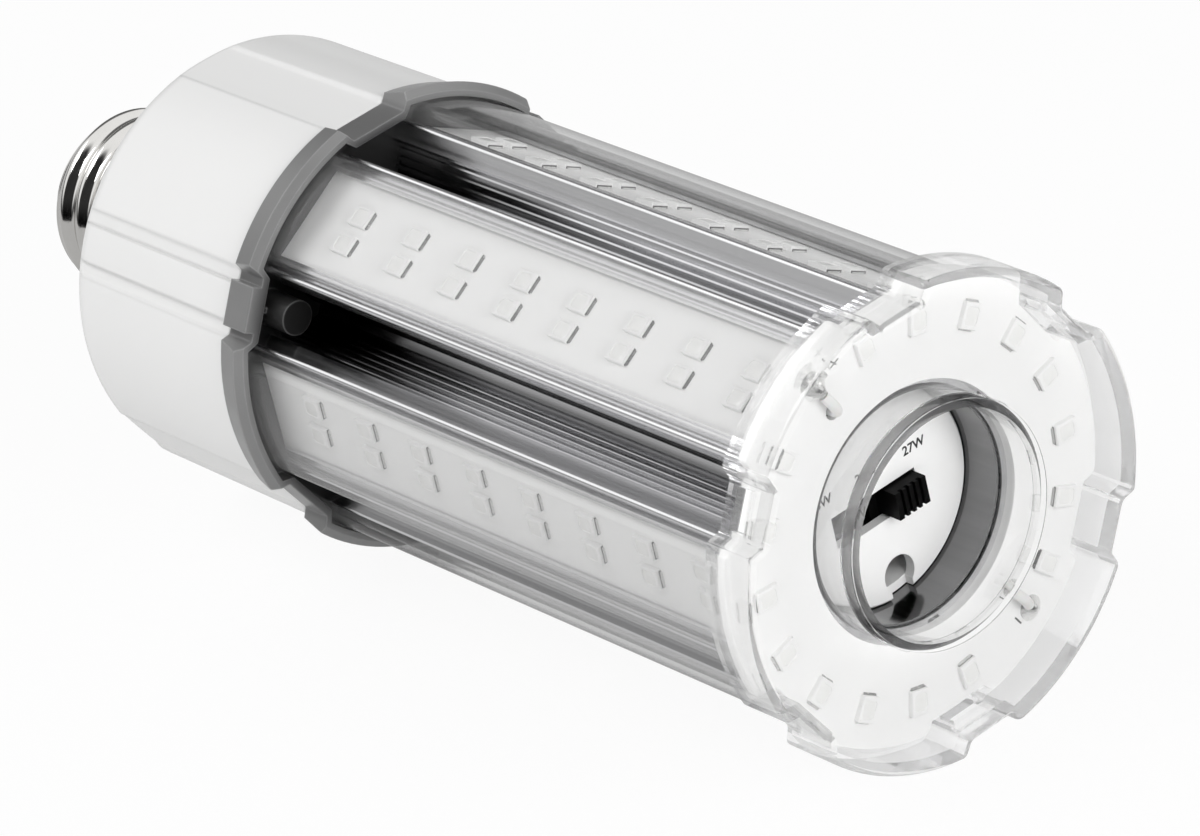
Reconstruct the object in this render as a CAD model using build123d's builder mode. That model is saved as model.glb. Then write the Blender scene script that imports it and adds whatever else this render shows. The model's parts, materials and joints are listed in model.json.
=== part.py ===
from build123d import *
import os
from math import cos, radians, sin, sqrt

# Screw-in LED replacement lamp, lying on its side.
# +X runs along the lamp from the screw base to the light-giving end, +Z is up.
# The origin is on the lamp's axis, at the rim where the screw shell meets the housing neck.
# Six lit arms stand round the axis; the first one faces +Y and the gaps lie between them.

# Driving sizes, in millimetres and degrees. Radii are counted from the lamp's axis.
arm_count = 6
latch_count = 3
arm_step = 360 / arm_count
gap_angle = arm_step / 2
port_angle = gap_angle + arm_step
seat_gap = 0.15
recess_reach = 4.0

# Clear end cap, the widest piece
cap_radius = 32.4
cap_recess = 2.1
cap_wall = 1.5
cap_pane = 1.8
cap_depth = 8.3
cap_overlap = 0.9
cap_floor_half = 3.3
cap_rim_half = 5.0
cap_corner = 1.0
cap_inner_flare = 0.6
cap_round = 1.2
tube_wall = 1.1
tube_step = 0.3
tube_rise = 0.2
window_length = 2.6
window_width = 5.6
window_offset = 1.6

# Medium screw base
crest_radius = 13.05
thread_depth = 0.8
thread_pitch = 3.629
crest_count = 4
crest_land = 0.5
land_length = 4.4
land_run = 1.84
shell_wall = 0.75
shell_nose = 1.97
shell_step = 1.1
shell_lip = 0.8
plug_length = 8.8
insulator_length = 4.3
insulator_rim = 1.5
insulator_sunk = 2.0
insulator_round = 0.6
contact_radius = 4.7
contact_height = 2.2
contact_edge = 0.6

# Driver housing
neck_length = 8.8
neck_step = 1.55
rear_dish = 1.4
housing_length = 34.2
housing_recess = 1.0
housing_draft = 0.2
housing_shoulder = 3.2
housing_wall = 1.8
housing_lobe_round = 0.5
housing_lobe_flare = 1.8
ridge_drop = 0.1
ridge_half_width = 2.6

# Collar between the housing and the heat sink
collar_inset = 0.5
collar_length = 4.7
collar_recess = 2.6
collar_taper = 0.95
collar_edge = 1.0
collar_edge_length = 0.9
collar_pocket = 2.8
collar_corner = 0.4
collar_step = 0.65
pocket_gap = 0.3
pocket_recess = 1.9
block_drop = 1.2
block_half_width = 3.1
recess_floor_half = 4.3
recess_rim_half = 6.1
spigot_length = 4.0
spigot_wall = 1.6
spigot_flare = 1.0
cable_lip = 2.8
boss_radius = 2.4
boss_inset = 3.4
boss_length = 6.0
boss_round = 0.5
boss_rib = 0.8
boss_rib_gap = 0.4
post_inset = 3.6
post_radius = 3.0
post_length = 2.8

# Extruded heat sink
sink_length = 97.0
arm_reach = 15.0
core_wall = 1.8
arm_half_width = 7.6
arm_wall = 1.5
shelf_drop = 5.6
shelf_thickness = 1.6
rail_overhang = 1.9
rail_thickness = 1.0
rail_foot = 0.8
rail_height = 1.5
lens_slot_width = 0.9
lens_slot_floor_rise = 0.8
lip_rise = 1.7
lip_width = 0.9
board_slot_wall = 0.3
rib_count = 6
rib_pitch = 1.1
rib_margin = 0.7
rib_width = 0.5
rib_height = 0.55
port_radius = 2.2
port_wall = 1.0
port_offset = 1.8

# Light boards and their chips
board_thickness = 1.0
board_clearance = 0.1
chip_length = 3.5
chip_width = 2.8
chip_height = 0.75
chip_rows = 8
chip_row_pitch = 11.04
chip_rows_shift = 0.24
chip_column_gap = 4.23

# Clear covers over the arms
lens_cap_gap = 1.1
lens_wall = 1.0
lens_foot = 0.6
lens_foot_gap = 0.1
lens_step_gap = 0.2
lens_shoulder = 1.6
lens_end_gap = 0.4

# Front ring board
front_board_thickness = 1.4
front_board_gap = 0.5
front_board_flare = 1.2
front_board_corner = 0.8
front_board_tube_gap = 0.9
front_chip_inset = 5.2
front_places = 18
front_step_angle = 360 / front_places
front_first_angle = 55.7
plus_place = 3
minus_place = 12

# Power selector behind the tube
plate_recess = 5.5
plate_thickness = 1.5
plate_bevel = 0.3
plate_skirt_wall = 1.2
plate_skirt = 4.5
selector_across = -0.6
selector_height = -1.3
selector_step = 4.0
knob_length = 5.2
knob_width = 3.8
knob_head = 2.3
knob_clearance = 0.3
knob_rib_count = 4
knob_rib_depth = 0.5
flange_length = 8.0
flange_width = 4.6
flange_thickness = 1.1
channel_depth = 1.6
switch_gap = 1.3
switch_width = 7.2
switch_depth = 6.0
switch_round = 0.5
switch_board_inset = 0.6
switch_board_width = 11.6
switch_board_thickness = 1.2
switch_board_round = 1.0
notch_radius = 2.5
notch_neck = 3.6
notch_across = 0.6
notch_inset = 3.2

# Leads from the driver to the ring board
lead_radius = 0.7
lead_drop = 0.9
lead_hole = 1.15
lead_rise = 2.0
lead_lift = 0.05
lead_bend = 1.4
plus_lead_angle = 114.7
minus_lead_angle = 302.6
solder_radius = 1.5
solder_outset = 1.5
solder_gap = 0.1

# Driver inside the housing
driver_board_thickness = 1.6
transformer_width = 15.0
transformer_height = 17.0
transformer_depth = 14.0
transformer_round = 0.8
transformer_place = (-9.5, -3.0)
window_height = 9.0
window_depth = 11.0
core_leg_width = 10.0
coil_overhang = 1.5
coil_gap = 0.3
coil_round = 2.0
coil_flange = 2.0
coil_waist = 0.7
coil_depth = 9.6
capacitor_radius = 5.0
capacitor_length = 18.0
capacitor_bevel = 0.7
capacitor_groove = 2.6
capacitor_groove_width = 0.8
capacitor_groove_depth = 0.35
capacitor_places = ((9.0, 12.0), (14.5, 0.0))
inductor_radius = 6.0
inductor_length = 10.0
inductor_flange = 1.6
inductor_core = 4.6
inductor_across = 8.0
inductor_inset = 11.6
shell_lead_start = (-2.0, 15.0)
shell_lead_height = 7.6
shell_lead_reach = 2.7
shell_lead_gap = 0.4
contact_lead_start = (-2.0, 9.5)
supply_bend_start = 22.0
supply_bend_end = 14.0
contact_lead_hole = 0.9
switch_lead_radius = 1.6
switch_lead_inset = 4.8
switch_lead_gap = 3.0
switch_lead_bend = 1.8

# Screws
screw_shank = 1.15
screw_hole = 1.2
screw_tip_gap = 0.4
screw_head_radius = 2.4
screw_head_height = 1.6
screw_head_bevel = 0.6
screw_cross_width = 0.6
screw_cross_length = 2.6
screw_cross_depth = 0.8
screw_length = 9.0
board_screw_length = 5.5

# Places and radii that follow from the sizes above
root_radius = crest_radius - thread_depth
shell_bore = root_radius - shell_wall
shell_end_radius = shell_bore - shell_step
first_crest = land_length + land_run
last_crest = first_crest + (crest_count - 1) * thread_pitch
shell_length = last_crest + thread_pitch / 4 + shell_nose
insulator_tip_radius = contact_radius + insulator_rim
insulator_end = -shell_length - insulator_length

cap_floor_radius = cap_radius - cap_recess
cap_inner_radius = cap_radius - cap_wall
cap_inner_floor = cap_floor_radius - cap_wall
lens_radius = cap_inner_radius - lens_cap_gap
core_bore = lens_radius - arm_reach
shelf = lens_radius - shelf_drop
shelf_underside = shelf - shelf_thickness
board_top = shelf + board_thickness
core_radius = core_bore + core_wall
rail_half_width = arm_half_width + rail_overhang
rib_first = shelf_underside - rib_margin - (rib_count - 1) * rib_pitch
port_place = core_radius + port_offset
port_hole = port_radius - port_wall

collar_radius = cap_radius - collar_inset
collar_floor_radius = collar_radius - collar_recess
collar_block_radius = collar_radius - block_drop
collar_rear_radius = collar_radius - collar_taper
pocket_radius = lens_radius + pocket_gap
pocket_floor_radius = pocket_radius - pocket_recess
housing_front_radius = collar_rear_radius - collar_step
housing_rear_radius = housing_front_radius - housing_draft
housing_floor_radius = housing_front_radius - housing_recess
ridge_radius = housing_front_radius - ridge_drop
neck_radius = crest_radius + neck_step
housing_rear = neck_length + rear_dish
housing_front = housing_rear + housing_length
collar_front = housing_front + collar_length
collar_seat = collar_front - collar_pocket
boss_place = collar_floor_radius - boss_inset - boss_rib
boss_front = collar_seat + boss_length
cable_hole_radius = core_bore - cable_lip
spigot_radius = housing_front_radius - housing_wall - seat_gap
spigot_floor_radius = housing_floor_radius - housing_wall - seat_gap
spigot_hollow = spigot_floor_radius - spigot_wall
driver_board_radius = spigot_hollow - seat_gap
post_place = driver_board_radius - post_inset
board_seat = housing_front - post_length
board_back = board_seat - driver_board_thickness

sink_end = collar_seat + sink_length
chip_rows_middle = (collar_seat + sink_end) / 2 + chip_rows_shift
front_board_face = sink_end + front_board_thickness
tube_radius = core_bore + tube_step + tube_wall
front_board_hole = tube_radius + front_board_tube_gap
front_board_radius = cap_inner_radius - front_board_gap
front_board_floor = cap_inner_floor - front_board_gap
front_chip_radius = front_board_radius - front_chip_inset
cap_rear = sink_end - cap_overlap
cap_front = cap_rear + cap_depth
tube_front = cap_front + tube_rise
window_rear = cap_rear + window_offset

plate_front = sink_end - plate_recess
plate_back = plate_front - plate_thickness
plate_radius = core_bore - seat_gap
knob_rest = selector_across + selector_step
switch_reach = plate_radius - plate_skirt_wall - switch_gap
switch_length = 2 * sqrt(switch_reach ** 2 - (switch_width / 2 - selector_height) ** 2)
switch_board_length = switch_length - 2 * switch_board_inset
notch_place = (notch_across, notch_inset - core_bore)
switch_lead_place = (notch_across, switch_lead_inset - core_bore)
inductor_place = (inductor_across, inductor_inset - driver_board_radius)
lead_place = shelf_underside - lead_drop
lead_top = front_board_face + lead_rise
lead_end_x = front_board_face + lead_radius + lead_lift
solder_place = front_chip_radius + solder_outset
lead_end_radius = solder_place - solder_radius - solder_gap

os.makedirs("parts", exist_ok=True)


def station(x):
    """A plane across the lamp at distance x from the origin: local x is +Y and local y is +Z."""
    return Plane.YZ.offset(x)


def save(builder, name):
    builder.part.label = name
    export_step(builder.part, "parts/" + name + ".step")


def around(radius, angle):
    """The +Y and +Z place of a point at a radius and angle, the angle counted from +Y."""
    return (radius * cos(radians(angle)), radius * sin(radians(angle)))


def recess_cut(floor_radius, outer_radius, floor_half, rim_half):
    """The trapezoid that one recess takes out of a lobed outline, drawn along local +x."""
    reach = outer_radius + recess_reach
    slope = (rim_half - floor_half) / (outer_radius - floor_radius)
    reach_half = floor_half + slope * (reach - floor_radius)
    with BuildSketch() as cut:
        with BuildLine():
            Polyline(
                (floor_radius, -floor_half),
                (reach, -reach_half),
                (reach, reach_half),
                (floor_radius, floor_half),
                close=True,
            )
        make_face()
    return cut.sketch_local


def lobed(outer_radius, floor_radius, floor_half, rim_half, rounding=None, block=None):
    """A round outline with a shallow recess over each gap, and a block in every second recess."""
    cut = recess_cut(floor_radius, outer_radius, floor_half, rim_half)
    with BuildSketch() as outline:
        Circle(outer_radius)
        with PolarLocations(0, arm_count, start_angle=gap_angle):
            add(cut, mode=Mode.SUBTRACT)
        if rounding:
            fillet(outline.vertices(), rounding)
        if block:
            block_radius, half_width = block
            with PolarLocations(block_radius / 2, latch_count, start_angle=gap_angle):
                Rectangle(block_radius, 2 * half_width)
    return outline.sketch_local


def make_screw_shell():
    """A thin shell whose ridges stand at the thread's pitch, drawn as one turned profile."""
    slope = thread_pitch / 4
    with BuildPart() as shell:
        with BuildSketch(Plane.XY):
            profile = [(0, shell_bore), (0, crest_radius), (-land_length, crest_radius)]
            for turn in range(crest_count):
                crest = first_crest + turn * thread_pitch
                profile += [
                    (-(crest - 2 * slope + crest_land), root_radius),
                    (-(crest - crest_land), crest_radius),
                    (-(crest + crest_land), crest_radius),
                    (-(crest + 2 * slope - crest_land), root_radius),
                ]
            profile += [
                (-shell_length, shell_end_radius),
                (-shell_length, shell_end_radius - shell_lip),
                (-(last_crest + slope), shell_bore),
            ]
            with BuildLine():
                Polyline(*profile, close=True)
            make_face()
        revolve(axis=Axis.X)
    save(shell, "screw_shell")


def make_base_insulator():
    lip_radius = shell_end_radius - shell_lip - seat_gap
    with BuildPart() as insulator:
        with BuildSketch(Plane.XY):
            with BuildLine():
                Polyline(
                    (-shell_length + insulator_sunk, 0),
                    (-shell_length + insulator_sunk, lip_radius),
                    (-shell_length, lip_radius),
                    (-shell_length, shell_end_radius),
                    (insulator_end, insulator_tip_radius),
                    (insulator_end, 0),
                    close=True,
                )
            make_face()
        revolve(axis=Axis.X)
        fillet(insulator.edges().filter_by(GeomType.CIRCLE).sort_by(Axis.X)[0], insulator_round)
        with BuildSketch(station(insulator_end)):
            Circle(contact_lead_hole)
        extrude(amount=insulator_length + insulator_sunk, mode=Mode.SUBTRACT)
    save(insulator, "base_insulator")


def make_center_contact():
    rim = insulator_end
    shoulder = rim - contact_edge
    rise = contact_height - contact_edge
    dome = (contact_radius ** 2 + rise ** 2) / (2 * rise)
    halfway = rise - dome + sqrt(dome ** 2 - contact_radius ** 2 / 4)
    with BuildPart() as contact:
        with BuildSketch(Plane.XY):
            with BuildLine():
                Line((rim, 0), (rim, contact_radius))
                Line((rim, contact_radius), (shoulder, contact_radius))
                ThreePointArc(
                    (shoulder, contact_radius),
                    (shoulder - halfway, contact_radius / 2),
                    (rim - contact_height, 0),
                )
                Line((rim - contact_height, 0), (rim, 0))
            make_face()
        revolve(axis=Axis.X)
    save(contact, "center_contact")


def housing_form(inset, rounding=None):
    """The housing's outer form, or the hollow inside it when the inset is the wall."""
    outline = lobed(
        collar_radius + housing_lobe_flare - inset,
        housing_floor_radius - inset,
        recess_floor_half,
        recess_rim_half + housing_lobe_flare,
        rounding,
        (ridge_radius - inset, ridge_half_width),
    )
    rear = housing_rear + inset
    shoulder = (rear, housing_rear_radius - inset)
    with BuildPart() as form:
        with BuildSketch(station(neck_length)):
            add(outline)
        extrude(amount=housing_front - neck_length)
        with BuildSketch(Plane.XY) as turned:
            with BuildLine():
                Polyline(
                    (rear - rear_dish, 0),
                    (rear - rear_dish, neck_radius),
                    shoulder,
                    (housing_front, housing_front_radius - inset),
                    (housing_front, 0),
                    close=True,
                )
            make_face()
            fillet(turned.vertices().sort_by_distance(shoulder)[0], housing_shoulder - inset)
        revolve(axis=Axis.X, mode=Mode.INTERSECT)
    return form.part


def make_driver_housing():
    outer = housing_form(0, housing_lobe_round)
    hollow = housing_form(housing_wall)
    with BuildPart() as housing:
        add(outer)
        with BuildSketch(station(0)):
            Circle(neck_radius)
        extrude(amount=neck_length + housing_wall / 2)
        with BuildSketch(station(-plug_length)):
            Circle(shell_bore - seat_gap)
        extrude(amount=plug_length)
        add(hollow, mode=Mode.SUBTRACT)
        with BuildSketch(station(-plug_length)):
            Circle(shell_bore - seat_gap - housing_wall)
        extrude(amount=plug_length + housing_rear + housing_wall, mode=Mode.SUBTRACT)
    save(housing, "driver_housing")


def collar_form():
    """The collar's rim: a lobed slice that widens toward its front and has a sloped front edge."""
    outline = lobed(
        collar_radius,
        collar_floor_radius,
        recess_floor_half,
        recess_rim_half,
        collar_corner,
        (collar_block_radius, block_half_width),
    )
    with BuildPart() as form:
        with BuildSketch(station(housing_front)):
            add(outline)
        extrude(amount=collar_length)
        with BuildSketch(Plane.XY):
            with BuildLine():
                Polyline(
                    (housing_front, 0),
                    (housing_front, collar_rear_radius),
                    (collar_front - collar_edge_length, collar_radius),
                    (collar_front, collar_radius - collar_edge),
                    (collar_front, 0),
                    close=True,
                )
            make_face()
        revolve(axis=Axis.X, mode=Mode.INTERSECT)
    return form.part


def make_collar():
    pocket = lobed(pocket_radius, pocket_floor_radius, recess_floor_half, recess_rim_half)
    spigot = lobed(
        spigot_radius,
        spigot_floor_radius,
        recess_floor_half + spigot_flare,
        recess_rim_half + spigot_flare,
    )
    rim = collar_form()
    with BuildPart() as collar:
        add(rim)
        with BuildSketch(station(collar_seat)):
            add(pocket)
        extrude(amount=collar_pocket, mode=Mode.SUBTRACT)
        with BuildSketch(station(housing_front)):
            add(spigot)
            Circle(spigot_hollow, mode=Mode.SUBTRACT)
        extrude(amount=-spigot_length)
        with BuildSketch(station(housing_front)):
            with PolarLocations(post_place, latch_count, start_angle=gap_angle):
                Circle(post_radius)
        extrude(amount=-post_length)
        with BuildSketch(station(collar_seat)):
            with PolarLocations(boss_place, latch_count, start_angle=gap_angle):
                Circle(boss_radius)
        extrude(amount=boss_length)
        chamfer(collar.faces().sort_by(Axis.X)[-1].edges(), boss_round)
        with BuildSketch(station(collar_seat)):
            rib_run = pocket_floor_radius + boss_rib - boss_place
            with PolarLocations(boss_place + rib_run / 2, latch_count, start_angle=gap_angle):
                Rectangle(rib_run, boss_rib)
        extrude(amount=collar_pocket - boss_rib_gap)
        with BuildSketch(station(board_seat)):
            with PolarLocations(post_place, latch_count, start_angle=gap_angle):
                Circle(screw_hole)
        extrude(
            amount=board_screw_length - driver_board_thickness + screw_tip_gap, mode=Mode.SUBTRACT
        )
        with BuildSketch(station(housing_front - spigot_length)):
            Circle(cable_hole_radius)
            for angle in (plus_lead_angle, minus_lead_angle):
                with Locations(around(lead_place, angle)):
                    Circle(lead_hole)
            with PolarLocations(port_place, latch_count, start_angle=port_angle):
                Circle(port_hole)
        extrude(amount=spigot_length + collar_seat - housing_front, mode=Mode.SUBTRACT)
    save(collar, "collar")


def arm_outline():
    """Half-symmetric section of one arm: local x is outward from the axis, local y is across."""
    slot_outer = rail_half_width - rail_thickness
    slot_inner = slot_outer - lens_slot_width
    slot_ceiling = board_top + 2 * board_clearance
    rail_shoulder = shelf + rail_height
    lens_slot_floor = shelf + lens_slot_floor_rise
    lip_top = shelf + lip_rise
    board_slot_half = slot_inner - board_slot_wall
    arm_root = core_bore - core_wall
    chamber_root = core_radius + arm_wall
    with BuildSketch() as section:
        with BuildLine():
            Polyline(
                (arm_root, 0),
                (arm_root, arm_half_width),
                (shelf_underside, arm_half_width),
                (shelf - rail_foot, rail_half_width),
                (rail_shoulder, rail_half_width),
            )
            ThreePointArc(
                (rail_shoulder, rail_half_width),
                (rail_shoulder + rail_thickness / 2, rail_half_width - rail_thickness / 2),
                (rail_shoulder, slot_outer),
            )
            Polyline(
                (rail_shoulder, slot_outer),
                (lens_slot_floor, slot_outer),
                (lens_slot_floor, slot_inner),
                (lip_top, slot_inner),
                (lip_top, slot_inner - lip_width),
                (slot_ceiling, slot_inner - lip_width),
                (slot_ceiling, board_slot_half),
                (shelf, board_slot_half),
                (shelf, 0),
                (arm_root, 0),
            )
        make_face()
        rib_span = (rib_count - 1) * rib_pitch
        with Locations((rib_first + rib_span / 2, arm_half_width)):
            with GridLocations(rib_pitch, 0, rib_count, 1):
                Rectangle(rib_width, 2 * rib_height)
        mirror(about=Plane.XZ)
        with Locations(((chamber_root + shelf_underside) / 2, 0)):
            Rectangle(
                shelf_underside - chamber_root, 2 * (arm_half_width - arm_wall), mode=Mode.SUBTRACT
            )
    return section.sketch_local


def make_heat_sink():
    arm = arm_outline()
    with BuildPart() as sink:
        with BuildSketch(station(collar_seat)):
            Circle(core_radius)
            with PolarLocations(0, arm_count):
                add(arm)
            with PolarLocations(port_place, latch_count, start_angle=port_angle):
                Circle(port_radius)
            Circle(core_bore, mode=Mode.SUBTRACT)
            with PolarLocations(port_place, latch_count, start_angle=port_angle):
                Circle(port_hole, mode=Mode.SUBTRACT)
        extrude(amount=sink_length)
    save(sink, "heat_sink")


def arm_plane(index):
    """A plane on an arm's shelf line: local x runs along the lamp, local y across the arm."""
    angle = index * arm_step
    outward = (0, cos(radians(angle)), sin(radians(angle)))
    return Plane(origin=(0, 0, 0), x_dir=(1, 0, 0), z_dir=outward)


def make_led_board(index):
    rear = collar_seat + lens_end_gap
    length = sink_end - lens_end_gap - rear
    slot_half = rail_half_width - rail_thickness - lens_slot_width - board_slot_wall
    width = 2 * (slot_half - board_clearance)
    with BuildPart() as board:
        with BuildSketch(arm_plane(index).offset(shelf)):
            with Locations((rear + length / 2, 0)):
                Rectangle(length, width)
        extrude(amount=board_thickness)
    save(board, "led_board_" + str(index + 1))


def make_led_chips(index):
    with BuildPart() as chips:
        with BuildSketch(arm_plane(index).offset(board_top)):
            with Locations((chip_rows_middle, 0)):
                with GridLocations(chip_row_pitch, chip_column_gap, chip_rows, 2):
                    Rectangle(chip_length, chip_width)
        extrude(amount=chip_height)
    save(chips, "led_chips_" + str(index + 1))


def lens_section():
    foot_middle = rail_half_width - rail_thickness - lens_slot_width / 2
    foot_outer = foot_middle + lens_foot / 2
    foot_inner = foot_middle - lens_foot / 2
    foot_end = shelf + lens_slot_floor_rise + lens_foot_gap
    wall_inner = foot_outer - lens_wall
    step = shelf + lip_rise + lens_step_gap
    inner_radius = lens_radius - lens_wall
    outer_drop = sqrt(lens_radius ** 2 - foot_outer ** 2)
    inner_drop = sqrt(inner_radius ** 2 - wall_inner ** 2)
    with BuildSketch() as section:
        with BuildLine():
            Polyline((foot_end, 0), (foot_end, foot_outer), (outer_drop, foot_outer))
            ThreePointArc((outer_drop, foot_outer), (lens_radius, 0), (outer_drop, -foot_outer))
            Polyline((outer_drop, -foot_outer), (foot_end, -foot_outer), (foot_end, 0))
        make_face()
        fillet(section.vertices().group_by(Axis.X)[-1], lens_shoulder)
        with BuildSketch(mode=Mode.PRIVATE) as inside:
            with BuildLine():
                Polyline(
                    (foot_end, 0),
                    (foot_end, foot_inner),
                    (step, foot_inner),
                    (step, wall_inner),
                    (inner_drop, wall_inner),
                )
                ThreePointArc(
                    (inner_drop, wall_inner), (inner_radius, 0), (inner_drop, -wall_inner)
                )
                Polyline(
                    (inner_drop, -wall_inner),
                    (step, -wall_inner),
                    (step, -foot_inner),
                    (foot_end, -foot_inner),
                    (foot_end, 0),
                )
            make_face()
            fillet(inside.vertices().group_by(Axis.X)[-1], lens_shoulder - lens_wall / 2)
        add(inside.sketch_local, mode=Mode.SUBTRACT)
    return section.sketch_local


def make_panel_lens(index, section):
    rear = collar_seat + lens_end_gap
    with BuildPart() as lens:
        with BuildSketch(station(rear)):
            with PolarLocations(0, 1, start_angle=index * arm_step):
                add(section)
        extrude(amount=sink_end - lens_end_gap - rear)
    save(lens, "panel_lens_" + str(index + 1))


def front_chip_angles():
    taken = (plus_place, minus_place)
    return [front_first_angle + front_step_angle * k for k in range(front_places) if k not in taken]


def make_front_board():
    outline = lobed(
        front_board_radius,
        front_board_floor,
        cap_floor_half + front_board_flare,
        cap_rim_half + front_board_flare,
        front_board_corner,
    )
    with BuildPart() as board:
        with BuildSketch(station(sink_end)):
            add(outline)
            Circle(front_board_hole, mode=Mode.SUBTRACT)
            for angle in (plus_lead_angle, minus_lead_angle):
                with Locations(around(lead_place, angle)):
                    Circle(lead_hole, mode=Mode.SUBTRACT)
        extrude(amount=front_board_thickness)
    save(board, "front_board")


def make_front_chips():
    with BuildPart() as chips:
        with BuildSketch(station(front_board_face)):
            for angle in front_chip_angles():
                with PolarLocations(front_chip_radius, 1, start_angle=angle):
                    Rectangle(chip_length, chip_width)
        extrude(amount=chip_height)
    save(chips, "front_chips")


def make_end_cap():
    outer = lobed(cap_radius, cap_floor_radius, cap_floor_half, cap_rim_half, cap_corner)
    inner = lobed(
        cap_inner_radius,
        cap_inner_floor,
        cap_floor_half + cap_inner_flare,
        cap_rim_half + cap_inner_flare,
    )
    with BuildPart() as cap:
        with BuildSketch(station(cap_rear)):
            add(outer)
        extrude(amount=cap_depth)
        fillet(cap.faces().sort_by(Axis.X)[-1].outer_wire().edges(), cap_round)
        with BuildSketch(station(cap_rear)):
            add(inner)
        extrude(amount=cap_depth - cap_pane, mode=Mode.SUBTRACT)
        with BuildSketch(station(sink_end)):
            Circle(tube_radius)
        extrude(amount=tube_front - sink_end)
        with BuildSketch(station(sink_end)):
            Circle(tube_radius - tube_wall)
        extrude(amount=tube_front - sink_end, mode=Mode.SUBTRACT)
        with BuildSketch(station(window_rear)):
            with PolarLocations(cap_floor_radius, latch_count, start_angle=gap_angle):
                Rectangle(4 * cap_wall, window_width)
        extrude(amount=window_length, mode=Mode.SUBTRACT)
    save(cap, "end_cap")


def make_selector_plate():
    slot_length = 2 * selector_step + knob_length + 2 * knob_clearance
    with BuildPart() as plate:
        with BuildSketch(station(plate_back - plate_skirt)):
            Circle(plate_radius)
        extrude(amount=plate_skirt + plate_thickness)
        chamfer(plate.edges().filter_by(GeomType.CIRCLE).sort_by(Axis.X)[-1], plate_bevel)
        with BuildSketch(station(plate_back - plate_skirt)):
            Circle(plate_radius - plate_skirt_wall)
        extrude(amount=plate_skirt, mode=Mode.SUBTRACT)
        with BuildSketch(station(plate_back)):
            with Locations((selector_across, selector_height)):
                Rectangle(slot_length, knob_width + 2 * knob_clearance)
            with Locations(notch_place):
                Circle(notch_radius)
            with Locations((notch_place[0], notch_place[1] - plate_radius / 2)):
                Rectangle(notch_neck, plate_radius)
        extrude(amount=plate_thickness, mode=Mode.SUBTRACT)
    save(plate, "selector_plate")


def make_selector_switch():
    channel_length = 2 * selector_step + flange_length + 2 * knob_clearance
    with BuildPart() as switch:
        with BuildSketch(station(plate_back - switch_depth)):
            with Locations((0, selector_height)):
                Rectangle(switch_length, switch_width)
        extrude(amount=switch_depth)
        fillet(switch.edges().filter_by(Axis.X), switch_round)
        with BuildSketch(station(plate_back)):
            with Locations((selector_across, selector_height)):
                Rectangle(channel_length, flange_width + 2 * knob_clearance)
        extrude(amount=-channel_depth, mode=Mode.SUBTRACT)
    save(switch, "selector_switch")


def make_switch_board():
    with BuildPart() as board:
        with BuildSketch(station(plate_back - switch_depth - switch_board_thickness)):
            with Locations((0, selector_height)):
                RectangleRounded(switch_board_length, switch_board_width, switch_board_round)
        extrude(amount=switch_board_thickness)
    save(board, "switch_board")


def make_selector_knob():
    flange_front = plate_back - (channel_depth - flange_thickness) / 2
    with BuildPart() as knob:
        with BuildSketch(station(flange_front - flange_thickness)):
            with Locations((knob_rest, selector_height)):
                Rectangle(flange_length, flange_width)
        extrude(amount=flange_thickness)
        with BuildSketch(station(flange_front)):
            with Locations((knob_rest, selector_height)):
                Rectangle(knob_length, knob_width)
        extrude(amount=plate_front + knob_head - flange_front)
        groove_pitch = knob_length / (knob_rib_count + 1)
        with BuildSketch(station(plate_front + knob_head)):
            with Locations((knob_rest, selector_height)):
                with GridLocations(groove_pitch, 0, knob_rib_count, 1):
                    Rectangle(groove_pitch / 2, knob_width)
        extrude(amount=-knob_rib_depth, mode=Mode.SUBTRACT)
    save(knob, "selector_knob")


def wire(points, radius, bend):
    """A round wire along a bent route."""
    with BuildPart() as strand:
        with BuildLine() as route:
            FilletPolyline(*points, radius=bend)
        with BuildSketch(Plane(origin=route.line @ 0, z_dir=route.line % 0)):
            Circle(radius)
        sweep()
    return strand.part


def light_lead(angle):
    """From the driver board through an arm's chamber and the ring board, then out to its pad."""
    start = around(lead_place, angle)
    end = around(lead_end_radius, angle)
    points = [(board_seat, *start), (lead_top, *start), (lead_end_x, *end)]
    return wire(points, lead_radius, lead_bend)


def make_light_lead(name, angle):
    with BuildPart() as lead:
        add(light_lead(angle))
    save(lead, name)


def make_solder_joints():
    """A dome of solder beyond the end of each lead, on the ring board's pad."""
    with BuildPart() as joints:
        for angle in (plus_lead_angle, minus_lead_angle):
            across, up = around(1, angle)
            foot = (front_board_face, solder_place * across, solder_place * up)
            pad = Plane(origin=foot, x_dir=(0, across, up), z_dir=(0, up, -across))
            with BuildSketch(pad):
                with BuildLine():
                    CenterArc((0, 0), solder_radius, 0, 90)
                    Polyline((0, solder_radius), (0, 0), (solder_radius, 0))
                make_face()
            revolve(axis=Axis(foot, (1, 0, 0)))
    save(joints, "solder_joints")


def make_supply_leads():
    shell_lead_end = -plug_length - shell_lead_reach
    across, up = shell_lead_start
    shell_points = [
        (board_back, across, up),
        (supply_bend_start, across, up),
        (supply_bend_end, across, shell_lead_height),
        (shell_lead_end, across, shell_lead_height),
        (shell_lead_end, across, shell_bore - shell_lead_gap),
    ]
    across, up = contact_lead_start
    contact_points = [
        (board_back, across, up),
        (supply_bend_start, across, up),
        (supply_bend_end, 0, 0),
        (insulator_end, 0, 0),
    ]
    with BuildPart() as leads:
        add(wire(shell_points, lead_radius, lead_bend))
        add(wire(contact_points, lead_radius, lead_bend))
    save(leads, "supply_leads")


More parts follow.
